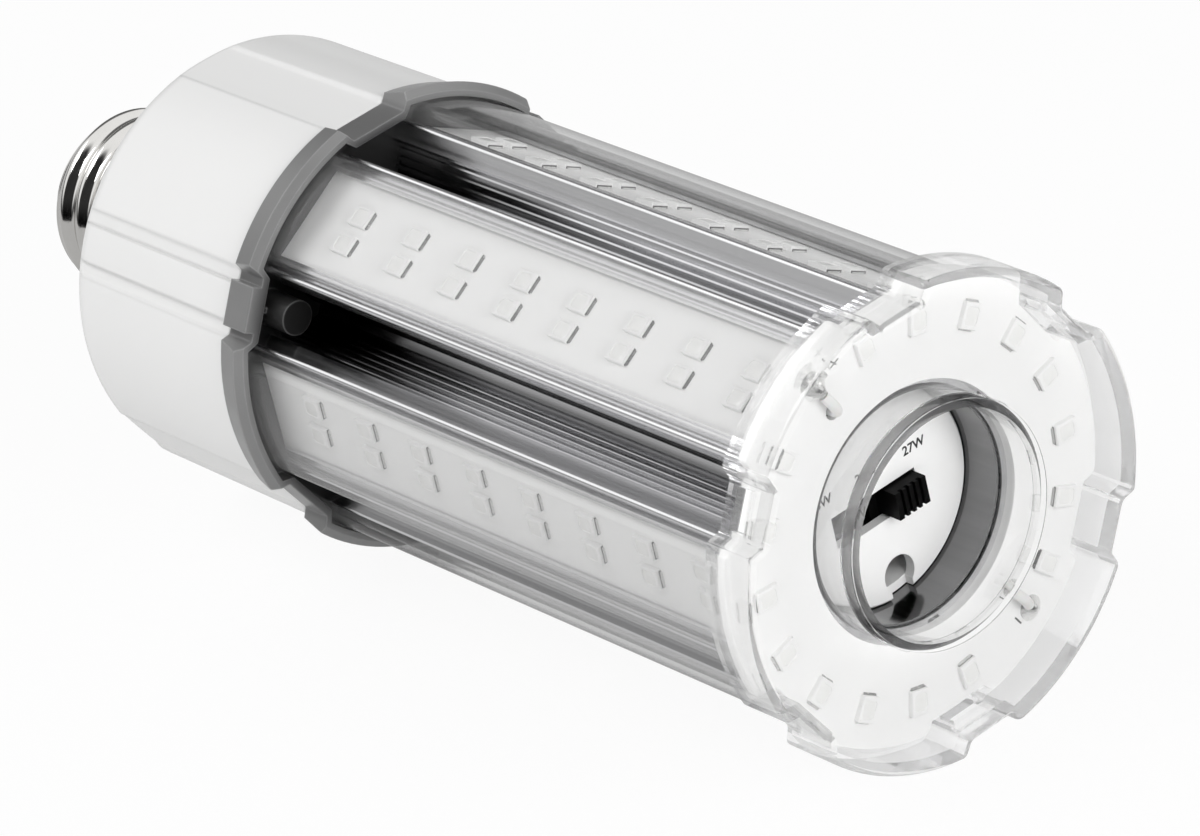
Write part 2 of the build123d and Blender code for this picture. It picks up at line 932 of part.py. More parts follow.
def make_switch_lead():
    switch_lead_front = plate_back - switch_lead_gap
    across, up = switch_lead_place
    points = [
        (board_seat, across, up),
        (switch_lead_front, across, up),
        (switch_lead_front, across, selector_height - switch_width / 2),
    ]
    with BuildPart() as lead:
        add(wire(points, switch_lead_radius, switch_lead_bend))
    save(lead, "switch_lead")


def make_driver_board():
    with BuildPart() as board:
        with BuildSketch(station(board_seat)):
            Circle(driver_board_radius)
            with PolarLocations(post_place, latch_count, start_angle=gap_angle):
                Circle(screw_hole, mode=Mode.SUBTRACT)
        extrude(amount=-driver_board_thickness)
    save(board, "driver_board")


def make_transformer():
    """A squared core with a wound former through it, standing on the back of the driver board."""
    with BuildPart() as transformer:
        with BuildSketch(station(board_back)):
            with Locations(transformer_place):
                RectangleRounded(transformer_width, transformer_height, transformer_round)
        extrude(amount=-transformer_depth)
        with BuildSketch(station(board_back)):
            with Locations(transformer_place):
                Rectangle(2 * transformer_width, window_height)
                Rectangle(core_leg_width, window_height, mode=Mode.SUBTRACT)
        extrude(amount=-window_depth, mode=Mode.SUBTRACT)
        coil_width = transformer_width + 2 * coil_overhang
        with BuildSketch(station(board_back)):
            with Locations(transformer_place):
                RectangleRounded(coil_width, window_height - 2 * coil_gap, coil_round)
        extrude(amount=-coil_flange)
        with BuildSketch(station(board_back - coil_flange)):
            with Locations(transformer_place):
                RectangleRounded(
                    coil_width - 2 * coil_waist, window_height - 2 * (coil_gap + coil_waist), coil_round
                )
        extrude(amount=coil_flange - coil_depth)
    save(transformer, "transformer")


def make_capacitors():
    with BuildPart() as capacitors:
        with BuildSketch(station(board_back)):
            with Locations(*capacitor_places):
                Circle(capacitor_radius)
        extrude(amount=-capacitor_length)
        far_rims = capacitors.edges().filter_by(GeomType.CIRCLE).group_by(Axis.X)[0]
        chamfer(far_rims, capacitor_bevel)
        with BuildSketch(station(board_back - capacitor_groove)):
            with Locations(*capacitor_places):
                Circle(capacitor_radius + 1)
                Circle(capacitor_radius - capacitor_groove_depth, mode=Mode.SUBTRACT)
        extrude(amount=-capacitor_groove_width, mode=Mode.SUBTRACT)
    save(capacitors, "capacitors")


def make_inductor():
    with BuildPart() as inductor:
        with BuildSketch(station(board_back)):
            with Locations(inductor_place):
                Circle(inductor_radius)
        extrude(amount=-inductor_length)
        with BuildSketch(station(board_back - inductor_flange)):
            with Locations(inductor_place):
                Circle(inductor_radius + 1)
                Circle(inductor_core, mode=Mode.SUBTRACT)
        extrude(amount=2 * inductor_flange - inductor_length, mode=Mode.SUBTRACT)
    save(inductor, "inductor")


def make_screws(name, seat, place, start_angle, length):
    """Three pan-head screws whose heads bear on the face at the seat and whose shanks run +X."""
    with BuildPart() as screws:
        with BuildSketch(station(seat)):
            with PolarLocations(place, latch_count, start_angle=start_angle):
                Circle(screw_head_radius)
        extrude(amount=-screw_head_height)
        chamfer(screws.faces().group_by(Axis.X)[0].edges(), screw_head_bevel)
        with BuildSketch(station(seat)):
            with PolarLocations(place, latch_count, start_angle=start_angle):
                Circle(screw_shank)
        extrude(amount=length)
        with BuildSketch(station(seat - screw_head_height)):
            with PolarLocations(place, latch_count, start_angle=start_angle):
                Rectangle(screw_cross_width, screw_cross_length)
                Rectangle(screw_cross_length, screw_cross_width)
        extrude(amount=screw_cross_depth, mode=Mode.SUBTRACT)
    save(screws, name)


make_screw_shell()
make_base_insulator()
make_center_contact()
make_driver_housing()
make_collar()
make_heat_sink()
lens_profile = lens_section()
for arm_index in range(arm_count):
    make_led_board(arm_index)
    make_led_chips(arm_index)
    make_panel_lens(arm_index, lens_profile)
make_front_board()
make_front_chips()
make_end_cap()
make_selector_plate()
make_selector_switch()
make_switch_board()
make_selector_knob()
make_light_lead("lead_plus", plus_lead_angle)
make_light_lead("lead_minus", minus_lead_angle)
make_solder_joints()
make_supply_leads()
make_switch_lead()
make_driver_board()
make_transformer()
make_capacitors()
make_inductor()
make_screws("board_screws", board_back, post_place, gap_angle, board_screw_length)
make_screws("sink_screws", housing_front, port_place, gap_angle + arm_step, screw_length)
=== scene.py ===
import bmesh
import bpy
import json
import math
from mathutils import Matrix, Vector


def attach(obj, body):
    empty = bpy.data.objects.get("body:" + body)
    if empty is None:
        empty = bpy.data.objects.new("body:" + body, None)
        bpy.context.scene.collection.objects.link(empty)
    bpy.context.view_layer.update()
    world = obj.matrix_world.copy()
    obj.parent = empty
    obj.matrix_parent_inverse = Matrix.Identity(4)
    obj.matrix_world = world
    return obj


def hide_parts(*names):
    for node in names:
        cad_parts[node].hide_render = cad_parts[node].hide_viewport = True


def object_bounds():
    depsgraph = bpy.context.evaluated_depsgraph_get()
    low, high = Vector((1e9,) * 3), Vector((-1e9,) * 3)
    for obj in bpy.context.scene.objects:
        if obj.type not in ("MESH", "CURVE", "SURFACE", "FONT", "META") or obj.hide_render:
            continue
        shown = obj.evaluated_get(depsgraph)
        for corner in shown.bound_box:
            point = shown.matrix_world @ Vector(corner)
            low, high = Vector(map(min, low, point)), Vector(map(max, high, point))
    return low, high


# An LED replacement lamp that lies along X, with its screw base toward -X and its clear cap toward +X

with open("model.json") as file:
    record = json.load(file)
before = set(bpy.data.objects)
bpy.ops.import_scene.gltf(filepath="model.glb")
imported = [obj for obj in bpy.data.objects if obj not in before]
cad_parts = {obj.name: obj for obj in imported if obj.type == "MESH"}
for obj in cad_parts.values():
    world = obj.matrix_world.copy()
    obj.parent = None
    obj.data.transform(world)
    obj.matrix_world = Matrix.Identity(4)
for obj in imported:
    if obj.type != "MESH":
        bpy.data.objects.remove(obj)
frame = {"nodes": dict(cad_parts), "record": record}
cad_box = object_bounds()
nodes = frame["nodes"]

# Sizes in metres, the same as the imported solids. Radii are counted from the lamp's axis.
MM = 0.001
ARMS = 6
ARM_STEP = 360 / ARMS
BOARD_TOP = 25.2 * MM
CHIP = (3.5 * MM, 2.8 * MM, 0.75 * MM)
ROWS, FIRST_ROW, ROW_STEP = 8, 56.4, 11.04
CHIP_ROWS = [(FIRST_ROW + ROW_STEP * k) * MM for k in range(ROWS)]
CHIP_COLUMNS = (-2.115 * MM, 2.115 * MM)
COLLAR_FACE = 49.1 * MM
PLATE_FACE = 137.8 * MM
RING_FACE = 144.7 * MM
RING_RADIUS = 25.2 * MM
TUBE_EDGE = 16.4 * MM
BORE = 15.3 * MM

# The ring board's chips and solder, in degrees from +Y toward +Z. The leads take two of the chips' places.
RING_PLACES, FIRST_PLACE, RING_STEP = 18, 55.7, 20
LEAD_PLACES = (3, 12)
RING_ANGLES = [FIRST_PLACE + RING_STEP * k for k in range(RING_PLACES) if k not in LEAD_PLACES]
SOLDER_ANGLES = (114.7, 302.6)


# Materials

class Tree:
    """A node tree with short ways to add and join its nodes."""

    def __init__(self, tree):
        self.tree = tree

    def node(self, kind, **values):
        made = self.tree.nodes.new(kind)
        for key, value in values.items():
            setattr(made, key, value)
        return made

    def link(self, source, target):
        self.tree.links.new(source, target)

    def ramp(self, source, low, high, from_low=0.3, from_high=0.7, kind="LINEAR"):
        """Spreads a value out between two others, from low to high."""
        spread = self.node("ShaderNodeMapRange", interpolation_type=kind)
        spread.inputs["From Min"].default_value = from_low
        spread.inputs["From Max"].default_value = from_high
        spread.inputs["To Min"].default_value = low
        spread.inputs["To Max"].default_value = high
        self.link(source, spread.inputs["Value"])
        return spread.outputs["Result"]

    def math(self, operation, first, second=0.0):
        """One sum on a socket and a value or another socket."""
        made = self.node("ShaderNodeMath", operation=operation)
        self.link(first, made.inputs[0])
        if isinstance(second, float):
            made.inputs[1].default_value = second
        else:
            self.link(second, made.inputs[1])
        return made.outputs["Value"]

    def blend(self, share, first, second):
        """Mixes two shaders by a value or a socket."""
        mixer = self.node("ShaderNodeMixShader")
        if isinstance(share, float):
            mixer.inputs[0].default_value = share
        else:
            self.link(share, mixer.inputs[0])
        self.link(first, mixer.inputs[1])
        self.link(second, mixer.inputs[2])
        return mixer.outputs["Shader"]

    def straight(self, path):
        """One for what the camera sees, either directly or through something clear."""
        seen = self.node("ShaderNodeMath", operation="ADD", use_clamp=True)
        self.link(path.outputs["Is Camera Ray"], seen.inputs[0])
        self.link(path.outputs["Is Transmission Ray"], seen.inputs[1])
        return seen.outputs["Value"]


class Look(Tree):
    """A node material round one Principled shader, whose coordinates are the object's own."""

    def __init__(self, name, color, roughness, metallic=0.0, specular=0.5):
        self.material = bpy.data.materials.new(name)
        self.material.use_nodes = True
        super().__init__(self.material.node_tree)
        self.shader = self.tree.nodes["Principled BSDF"]
        self.output = self.tree.nodes["Material Output"]
        self.set("Base Color", (*color, 1.0))
        self.set("Roughness", roughness)
        self.set("Metallic", metallic)
        self.set("Specular IOR Level", specular)
        self.place = self.node("ShaderNodeTexCoord").outputs["Object"]

    def set(self, socket, value):
        self.shader.inputs[socket].default_value = value

    def feed(self, source, socket):
        self.link(source, self.shader.inputs[socket])

    def stretched(self, scale):
        """The coordinates, scaled along each axis."""
        mapping = self.node("ShaderNodeMapping")
        mapping.inputs["Scale"].default_value = scale
        self.link(self.place, mapping.inputs["Vector"])
        return mapping.outputs["Vector"]

    def noise(self, scale, detail=3.0, stretch=(1, 1, 1), rough=0.5):
        texture = self.node("ShaderNodeTexNoise")
        texture.inputs["Scale"].default_value = scale
        texture.inputs["Detail"].default_value = detail
        texture.inputs["Roughness"].default_value = rough
        self.link(self.stretched(stretch), texture.inputs["Vector"])
        return texture.outputs["Fac"]

    def along(self, low, high, from_low, from_high):
        """A value that changes along the lamp's axis."""
        parts = self.node("ShaderNodeSeparateXYZ")
        self.link(self.place, parts.inputs[0])
        return self.ramp(parts.outputs["X"], low, high, from_low, from_high)

    def radius(self):
        """How far a point lies from the lamp's axis."""
        length = self.node("ShaderNodeVectorMath", operation="LENGTH")
        self.link(self.stretched((0, 1, 1)), length.inputs[0])
        return length.outputs["Value"]

    def tint(self, source, dark, light, shade=None):
        """Colours the surface between two colours, dimmed by a shade where one is given."""
        colors = self.node("ShaderNodeMix", data_type="RGBA")
        colors.inputs["A"].default_value = (*dark, 1.0)
        colors.inputs["B"].default_value = (*light, 1.0)
        self.link(self.ramp(source, 0.0, 1.0), colors.inputs["Factor"])
        if shade is None:
            self.feed(colors.outputs["Result"], "Base Color")
            return
        shaded = self.node("ShaderNodeVectorMath", operation="SCALE")
        self.link(colors.outputs["Result"], shaded.inputs[0])
        self.link(shade, shaded.inputs["Scale"])
        self.feed(shaded.outputs["Vector"], "Base Color")

    def shine(self, source, low, high):
        """Varies the roughness between two values."""
        self.feed(self.ramp(source, low, high), "Roughness")

    def bump(self, source, strength, distance, under=None):
        """Adds a fine relief, on top of another normal where one is given."""
        relief = self.node("ShaderNodeBump")
        relief.inputs["Strength"].default_value = strength
        relief.inputs["Distance"].default_value = distance
        self.link(source, relief.inputs["Height"])
        if under is not None:
            self.link(under, relief.inputs["Normal"])
        self.feed(relief.outputs["Normal"], "Normal")

    def soft_edges(self, radius):
        """Rounds the shading over sharp edges. Gives that normal and how near an edge is, from 0 to 1."""
        bevel = self.node("ShaderNodeBevel", samples=4)
        bevel.inputs["Radius"].default_value = radius
        rounded = bevel.outputs["Normal"]
        self.feed(rounded, "Normal")
        agree = self.node("ShaderNodeVectorMath", operation="DOT_PRODUCT")
        self.link(rounded, agree.inputs[0])
        self.link(self.node("ShaderNodeNewGeometry").outputs["Normal"], agree.inputs[1])
        return rounded, self.ramp(agree.outputs["Value"], 1.0, 0.0, 0.8, 0.99)

    def through(self, clearness):
        """A shader that lets light straight through."""
        clear = self.node("ShaderNodeBsdfTransparent")
        clear.inputs["Color"].default_value = (clearness, clearness, clearness, 1.0)
        return clear.outputs["BSDF"]

    def sheet(self, veil):
        """A clear wall too thin to bend what is behind it: a faint white veil under a gloss."""
        haze = self.node("ShaderNodeBsdfDiffuse")
        haze.inputs["Color"].default_value = (0.9, 0.9, 0.9, 1.0)
        gloss = self.node("ShaderNodeBsdfGlossy")
        gloss.inputs["Roughness"].default_value = 0.1
        slant = self.node("ShaderNodeLayerWeight")
        steep = self.math("POWER", slant.outputs["Facing"], 3.5)
        share = self.math("ADD", self.math("MULTIPLY", steep, 1.25), 0.03)
        wall = self.blend(veil, self.through(0.985), haze.outputs["BSDF"])
        return self.blend(share, wall, gloss.outputs["BSDF"])


def nickel():
    look = Look("nickel", (0.78, 0.77, 0.75), 0.1, metallic=1.0)
    fine = look.noise(900, stretch=(6, 1, 1))
    broad = look.noise(120, detail=4)
    look.tint(broad, (0.68, 0.67, 0.65), (0.82, 0.81, 0.79))
    look.shine(fine, 0.05, 0.14)
    look.bump(fine, 0.08, 0.00003)
    return look.material


def housing_white():
    look = Look("housing_white", (0.895, 0.895, 0.89), 0.24, specular=0.2)
    look.tint(look.noise(25, detail=2), (0.891, 0.891, 0.886), (0.898, 0.898, 0.893))
    look.shine(look.noise(40, detail=2), 0.23, 0.25)
    look.soft_edges(0.0008)
    return look.material


def collar_grey():
    """Painted highlight along its edges, and painted shade inside the ring, where the boss stands."""
    look = Look("collar_grey", (0.23, 0.23, 0.23), 0.34)
    rounded, edge = look.soft_edges(0.0004)
    # Painted shade: darker inside the ring, where the boss stands
    painted_shade = look.ramp(look.radius(), 0.08, 1.0, 27.5 * MM, 30.5 * MM)
    # Painted highlight along the edges, added to the painted shade inside the ring
    painted_highlight_and_shade = look.math("ADD", look.math("MULTIPLY", edge, 0.8), painted_shade)
    look.tint(look.noise(90, detail=5), (0.215, 0.215, 0.215), (0.24, 0.24, 0.24), painted_highlight_and_shade)
    look.shine(look.noise(300, detail=4), 0.28, 0.38)
    look.bump(look.noise(2600, detail=3), 0.06, 0.00001, under=rounded)
    look.set("Coat Weight", 0.5)
    look.set("Coat Roughness", 0.2)
    return look.material


def extruded():
    """Drawn lines along the metal. Painted shade darkens it between the arms near the collar and in the
    bore, and the rails at the arms' outer edges are duller."""
    look = Look("sink_aluminium", (0.70, 0.70, 0.71), 0.2, metallic=1.0)
    lines = look.noise(1500, detail=3, stretch=(0.003, 1, 1), rough=0.6)
    broad = look.noise(420, detail=3, stretch=(0.006, 1, 1), rough=0.6)
    reach = look.radius()
    # Painted shadow: darker near the collar, lighter toward the cap
    shadow = look.along(0.08, 0.95, COLLAR_FACE + 6 * MM, COLLAR_FACE + 34 * MM)
    # Painted shade: dark near the axis between the arms, but only near the collar
    painted_shade = look.math("MAXIMUM", look.ramp(reach, 0.0, 1.0, 20 * MM, 24.5 * MM), shadow)
    # Painted shade in the bore
    bore = look.ramp(look.math("LESS_THAN", reach, BORE), 1.0, 0.26, 0.0, 1.0)
    look.tint(broad, (0.80, 0.80, 0.81), (0.95, 0.95, 0.96), look.math("MULTIPLY", painted_shade, bore))
    rails = look.ramp(reach, 1.0, 1.6, 24 * MM, 25.5 * MM)
    rough = look.math("MULTIPLY", look.ramp(lines, 0.09, 0.17), rails)
    look.feed(rough, "Roughness")
    look.bump(lines, 0.1, 0.00001)
    return look.material


def board_white():
    look = Look("board_white", (0.92, 0.92, 0.915), 0.36)
    look.tint(look.noise(160, detail=4), (0.91, 0.91, 0.905), (0.93, 0.93, 0.925))
    look.shine(look.noise(500, detail=4), 0.28, 0.46)
    look.bump(look.noise(1800, detail=2), 0.07, 0.00003)
    return look.material


def chip_body():
    look = Look("chip_body", (0.89, 0.89, 0.885), 0.4)
    look.tint(look.noise(700, detail=3), (0.88, 0.88, 0.875), (0.90, 0.90, 0.895))
    look.bump(look.noise(2500, detail=2), 0.05, 0.00002)
    return look.material


def chip_resin():
    look = Look("chip_resin", (0.88, 0.88, 0.865), 0.2)
    look.tint(look.noise(900, detail=3), (0.865, 0.865, 0.85), (0.90, 0.90, 0.885))
    look.shine(look.noise(600, detail=3), 0.14, 0.26)
    look.set("Coat Weight", 0.4)
    look.set("Coat Roughness", 0.08)
    return look.material


def let_lamps_through(look, surface):
    """Light that only casts shadows passes straight through clear plastic."""
    path = look.node("ShaderNodeLightPath")
    whole = look.blend(path.outputs["Is Shadow Ray"], surface, look.through(0.93))
    look.link(whole, look.output.inputs["Surface"])


def clear_cover():
    look = Look("clear_cover", (0.985, 0.985, 0.985), 0.05)
    look.shine(look.noise(60, detail=2, stretch=(0.25, 1, 1)), 0.04, 0.07)
    let_lamps_through(look, look.sheet(0.05))
    return look.material


def clear_cap():
    """Thick moulded walls bend what is behind them, and the flat front pane doesn't."""
    look = Look("clear_cap", (0.95, 0.95, 0.95), 0.02)
    look.set("Transmission Weight", 1.0)
    look.set("IOR", 1.45)
    look.bump(look.noise(120, detail=2, stretch=(0.25, 1, 1)), 0.08, 0.0002)
    outside = look.math("GREATER_THAN", look.radius(), TUBE_EDGE)
    look.feed(look.ramp(outside, 0.9, 0.7, 0.0, 1.0), "Alpha")
    facing = look.node("ShaderNodeSeparateXYZ")
    look.link(look.node("ShaderNodeTexCoord").outputs["Normal"], facing.inputs[0])
    flat = look.math("GREATER_THAN", look.math("ABSOLUTE", facing.outputs["X"]), 0.95)
    pane = look.math("MULTIPLY", flat, outside)
    let_lamps_through(look, look.blend(pane, look.shader.outputs["BSDF"], look.sheet(0.03)))
    return look.material


def plate_white():
    look = Look("plate_white", (0.90, 0.90, 0.895), 0.4)
    look.tint(look.noise(120, detail=4), (0.885, 0.885, 0.88), (0.91, 0.91, 0.905))
    look.shine(look.noise(400, detail=4), 0.32, 0.48)
    look.bump(look.noise(2400, detail=2), 0.08, 0.00003)
    return look.material


def moulded_black(name):
    look = Look(name, (0.003, 0.003, 0.003), 0.5, specular=0.06)
    look.tint(look.noise(500, detail=4), (0.001, 0.001, 0.001), (0.004, 0.004, 0.004))
    look.shine(look.noise(700, detail=3), 0.34, 0.52)
    look.bump(look.noise(3000, detail=2), 0.12, 0.00003)
    return look.material


def fired_black():
    look = Look("base_black", (0.01, 0.01, 0.01), 0.08)
    look.tint(look.noise(260, detail=4), (0.006, 0.006, 0.006), (0.018, 0.018, 0.018))
    look.shine(look.noise(220, detail=4), 0.05, 0.16)
    look.bump(look.noise(160, detail=2), 0.1, 0.0001)
    return look.material


def contact_metal():
    look = Look("contact_metal", (0.72, 0.69, 0.62), 0.3, metallic=1.0)
    look.tint(look.noise(420, detail=5), (0.60, 0.57, 0.50), (0.80, 0.77, 0.70))
    look.shine(look.noise(300, detail=5), 0.2, 0.5)
    look.bump(look.noise(500, detail=3), 0.2, 0.00008)
    return look.material


def circuit_board():
    look = Look("circuit_board", (0.03, 0.13, 0.05), 0.4)
    look.tint(look.noise(240, detail=5), (0.02, 0.10, 0.04), (0.05, 0.18, 0.08))
    look.shine(look.noise(400, detail=4), 0.3, 0.5)
    look.bump(look.noise(1600, detail=3), 0.1, 0.00004)
    return look.material


def sleeve(name, dark, light):
    look = Look(name, light, 0.5)
    look.tint(look.noise(300, detail=4), dark, light)
    look.shine(look.noise(500, detail=4), 0.42, 0.6)
    look.bump(look.noise(2200, detail=2), 0.1, 0.00004)
    look.set("Subsurface Weight", 0.08)
    look.set("Subsurface Scale", 0.001)
    return look.material


def bright_metal(name, dark, light, low, high):
    look = Look(name, light, high, metallic=1.0)
    look.tint(look.noise(380, detail=4), dark, light)
    look.shine(look.noise(650, detail=4), low, high)
    look.bump(look.noise(900, detail=3), 0.12, 0.00005)
    return look.material


def dark_core():
    look = Look("transformer_dark", (0.05, 0.046, 0.042), 0.5)
    look.tint(look.noise(350, detail=5), (0.035, 0.032, 0.03), (0.08, 0.073, 0.065))
    look.shine(look.noise(500, detail=4), 0.4, 0.62)
    look.bump(look.noise(1500, detail=4), 0.2, 0.00006)
    return look.material


def shrink_sleeve():
    look = Look("capacitor_sleeve", (0.02, 0.02, 0.03), 0.22)
    look.tint(look.noise(200, detail=4), (0.012, 0.012, 0.02), (0.035, 0.035, 0.05))
    look.shine(look.noise(320, detail=4), 0.16, 0.32)
    look.bump(look.noise(300, detail=2, stretch=(0.3, 1, 1)), 0.1, 0.0001)
    return look.material


def ink():
    look = Look("ink", (0.02, 0.02, 0.02), 0.6)
    look.tint(look.noise(900, detail=3), (0.012, 0.012, 0.012), (0.05, 0.05, 0.05))
    return look.material


LOOKS = {
    "nickel": nickel(),
    "base_black": fired_black(),
    "contact_metal": contact_metal(),
    "housing_white": housing_white(),
    "collar_grey": collar_grey(),
    "sink_aluminium": extruded(),
    "board_white": board_white(),
    "chip": chip_body(),
    "clear_cover": clear_cover(),
    "clear_cap": clear_cap(),
    "plate_white": plate_white(),
    "switch_black": moulded_black("switch_black"),
    "knob_black": moulded_black("knob_black"),
    "circuit_board": circuit_board(),
    "lead_white": sleeve("lead_white", (0.74, 0.74, 0.73), (0.82, 0.82, 0.81)),
    "lead_black": sleeve("lead_black", (0.012, 0.012, 0.012), (0.03, 0.03, 0.03)),
    "solder": bright_metal("solder", (0.74, 0.74, 0.73), (0.86, 0.86, 0.85), 0.12, 0.3),
    "transformer_dark": dark_core(),
    "capacitor_sleeve": shrink_sleeve(),
    "screw_steel": bright_metal("screw_steel", (0.50, 0.50, 0.50), (0.66, 0.66, 0.66), 0.22, 0.42),
}
RESIN = chip_resin()
INK = ink()
# The chips' metal ends, painted dark to stand for the shade line along each end
TERMINAL_AND_PAINTED_SHADE = bright_metal("terminal_and_painted_shade", (0.10, 0.10, 0.10), (0.20, 0.20, 0.20), 0.25, 0.4)

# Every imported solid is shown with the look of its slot
for part in frame["record"]["subparts"]:
    shown = nodes[part["node"]]
    for place in shown.material_slots:
        place.link = "OBJECT"
        place.material = LOOKS[part["material_slot"]]


# Pieces

def add_piece(name, mesh_maker, materials, body="lamp", smooth=40):
    """Makes one mesh piece that rides on a body. Edges sharper than smooth, in degrees, stay sharp."""
    bm = bmesh.new()
    mesh_maker(bm)
    bmesh.ops.recalc_face_normals(bm, faces=bm.faces)
    mesh = bpy.data.meshes.new(name)
    bm.to_mesh(mesh)
    bm.free()
    piece = bpy.data.objects.new(name, mesh)
    bpy.context.scene.collection.objects.link(piece)
    for material in materials:
        mesh.materials.append(material)
    mesh.shade_smooth()
    mesh.set_sharp_from_angle(angle=math.radians(smooth))
    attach(piece, body)
    return piece


def ease(value, low, high):
    """Goes softly from 0 to 1 while the value goes from low to high."""
    share = min(max((value - low) / (high - low), 0.0), 1.0)
    return share * share * (3 - 2 * share)


# The rolled screw thread of the base, in millimetres: a thin shell whose ridge climbs by one pitch a turn.
# CREST_AT and RIM_END are places along X. The other places are distances from the housing, at X 0.
PITCH = 3.629
CREST_AT = -6.24
CREST, ROOT, SHELL_THICK = 13.05, 12.25, 0.4
SHELL_LENGTH = 20.0
RIM_END = -8
THREAD_START, THREAD_END = (4.2, 6.2), (16.6, 18.4)
NOSE_RADIUS, NOSE_DROP, NOSE_START = 12.2, 1.8, 17.2
AROUND, ALONG = 120, 150


def shell_radius(x, angle):
    """The outer radius: a plain rim, then the thread's wave, then a narrowing nose."""
    turns = (x - CREST_AT) / PITCH - angle / math.tau
    wave = (CREST + ROOT) / 2 + (CREST - ROOT) / 2 * math.cos(math.tau * turns)
    threaded = ease(-x, *THREAD_START) * (1 - ease(-x, *THREAD_END))
    plain = CREST if x > RIM_END else NOSE_RADIUS - NOSE_DROP * ease(-x, NOSE_START, SHELL_LENGTH)
    return plain + (wave - plain) * threaded


def join_rings(bm, first, second):
    """Faces between two rings of points, all the way round. Gives them back in order."""
    count = len(first)
    faces = []
    for k in range(count):
        j = (k + 1) % count
        faces.append(bm.faces.new((first[k], first[j], second[j], second[k])))
    return faces


def screw_shell(bm):
    rings = []
    steps = [-SHELL_LENGTH * k / ALONG for k in range(ALONG + 1)]
    outer = [(x, 0.0) for x in steps]
    inner = [(x, SHELL_THICK) for x in reversed(steps)]
    for x, inset in outer + inner:
        ring = []
        for k in range(AROUND):
            angle = math.tau * k / AROUND
            radius = (shell_radius(x, angle) - inset) * MM
            ring.append(bm.verts.new((x * MM, radius * math.cos(angle), radius * math.sin(angle))))
        rings.append(ring)
    for first, second in zip(rings, rings[1:] + rings[:1]):
        join_rings(bm, first, second)


thread = add_piece("rolled_thread", screw_shell, [LOOKS["nickel"]], smooth=60)
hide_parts("screw_shell")


# Light chips: a bevelled package with a framed resin window and a solder fillet at each end
CHIP_CORNER, RIM_CORNER, WINDOW_CORNER, CROWN_CORNER = 0.12 * MM, 0.35 * MM, 0.33 * MM, 0.2 * MM
CHIP_BEVEL = 0.1 * MM
FRAME_WIDTHS = (0.52 * MM, 0.32 * MM)
WINDOW_STEP, WINDOW_SINK = 0.07 * MM, 0.08 * MM
CROWN_STEP, CROWN_SINK = 0.5 * MM, 0.02 * MM
TERMINAL_HEIGHT = 0.35 * MM
FILLET_REACH, FILLET_HEIGHT, FILLET_TOE = 0.28 * MM, 0.2 * MM, 0.04 * MM
FILLET_SHARE = 0.8
BODY_SLOT, RESIN_SLOT, SOLDER_SLOT, TERMINAL_SLOT = range(4)
# The two sides of the eight-sided outline that are the chip's metal ends, painted dark for the shade line
# there
CHIP_ENDS = (3, 7)
# The faces of a box whose first four corners are its bottom
BOX_FACES = ((0, 1, 2, 3), (4, 5, 6, 7), (0, 1, 5, 4), (1, 2, 6, 5), (2, 3, 7, 6), (3, 0, 4, 7))


def chip_frame(bm, place):
    """Adds one chip. Local x is its length, local z is out of the board."""
    length, width, height = CHIP
    half_x, half_y = length / 2, width / 2
    rim_x, rim_y = half_x - FRAME_WIDTHS[0], half_y - FRAME_WIDTHS[1]

    def loop(reach_x, reach_y, z, cut):
        """An eight-sided outline, which is a rectangle with its corners cut off."""
        corners = []
        for sx, sy in ((1, 1), (-1, 1), (-1, -1), (1, -1)):
            a = Vector((sx * (reach_x - cut), sy * reach_y, z))
            b = Vector((sx * reach_x, sy * (reach_y - cut), z))
            corners += [a, b] if sx * sy < 0 else [b, a]
        return [bm.verts.new(place @ corner) for corner in corners]

    loops = [
        loop(half_x, half_y, 0, CHIP_CORNER),
        loop(half_x, half_y, TERMINAL_HEIGHT, CHIP_CORNER),
        loop(half_x, half_y, height - CHIP_BEVEL, CHIP_CORNER),
        loop(half_x - CHIP_BEVEL, half_y - CHIP_BEVEL, height, CHIP_CORNER),
        loop(rim_x, rim_y, height, RIM_CORNER),
        loop(rim_x - WINDOW_STEP, rim_y - WINDOW_STEP, height - WINDOW_SINK, WINDOW_CORNER),
    ]
    for level, (first, second) in enumerate(zip(loops, loops[1:])):
        for k, side in enumerate(join_rings(bm, first, second)):
            at_end = level == 0 and k in CHIP_ENDS
            side.material_index = TERMINAL_SLOT if at_end else BODY_SLOT
    crown = loop(rim_x - CROWN_STEP, rim_y - CROWN_STEP, height - CROWN_SINK, CROWN_CORNER)
    for slope in join_rings(bm, loops[-1], crown):
        slope.material_index = RESIN_SLOT
    bm.faces.new(crown).material_index = RESIN_SLOT
    bm.faces.new(list(reversed(loops[0])))
    fillet = half_y * FILLET_SHARE
    for side in (-1, 1):
        near = side * half_x
        far = side * (half_x + FILLET_REACH)
        outline = ((near, -fillet), (near, fillet), (far, fillet), (far, -fillet))
        tops = (FILLET_HEIGHT, FILLET_HEIGHT, FILLET_TOE, FILLET_TOE)
        corners = [(x, y, 0) for x, y in outline] + [(x, y, z) for (x, y), z in zip(outline, tops)]
        foot = [bm.verts.new(place @ Vector(corner)) for corner in corners]
        for quad in BOX_FACES:
            bm.faces.new([foot[k] for k in quad]).material_index = SOLDER_SLOT


CHIP_MATERIALS = [LOOKS["chip"], RESIN, LOOKS["solder"], TERMINAL_AND_PAINTED_SHADE]


def arm_turn(index):
    """Turns a chip so that it lies on an arm, with its local z pointing out of the lamp."""
    angle = math.radians(ARM_STEP * index)
    outward = Vector((0, math.cos(angle), math.sin(angle)))
    along = Vector((1, 0, 0))
    return Matrix((along, outward.cross(along), outward)).transposed().to_4x4()


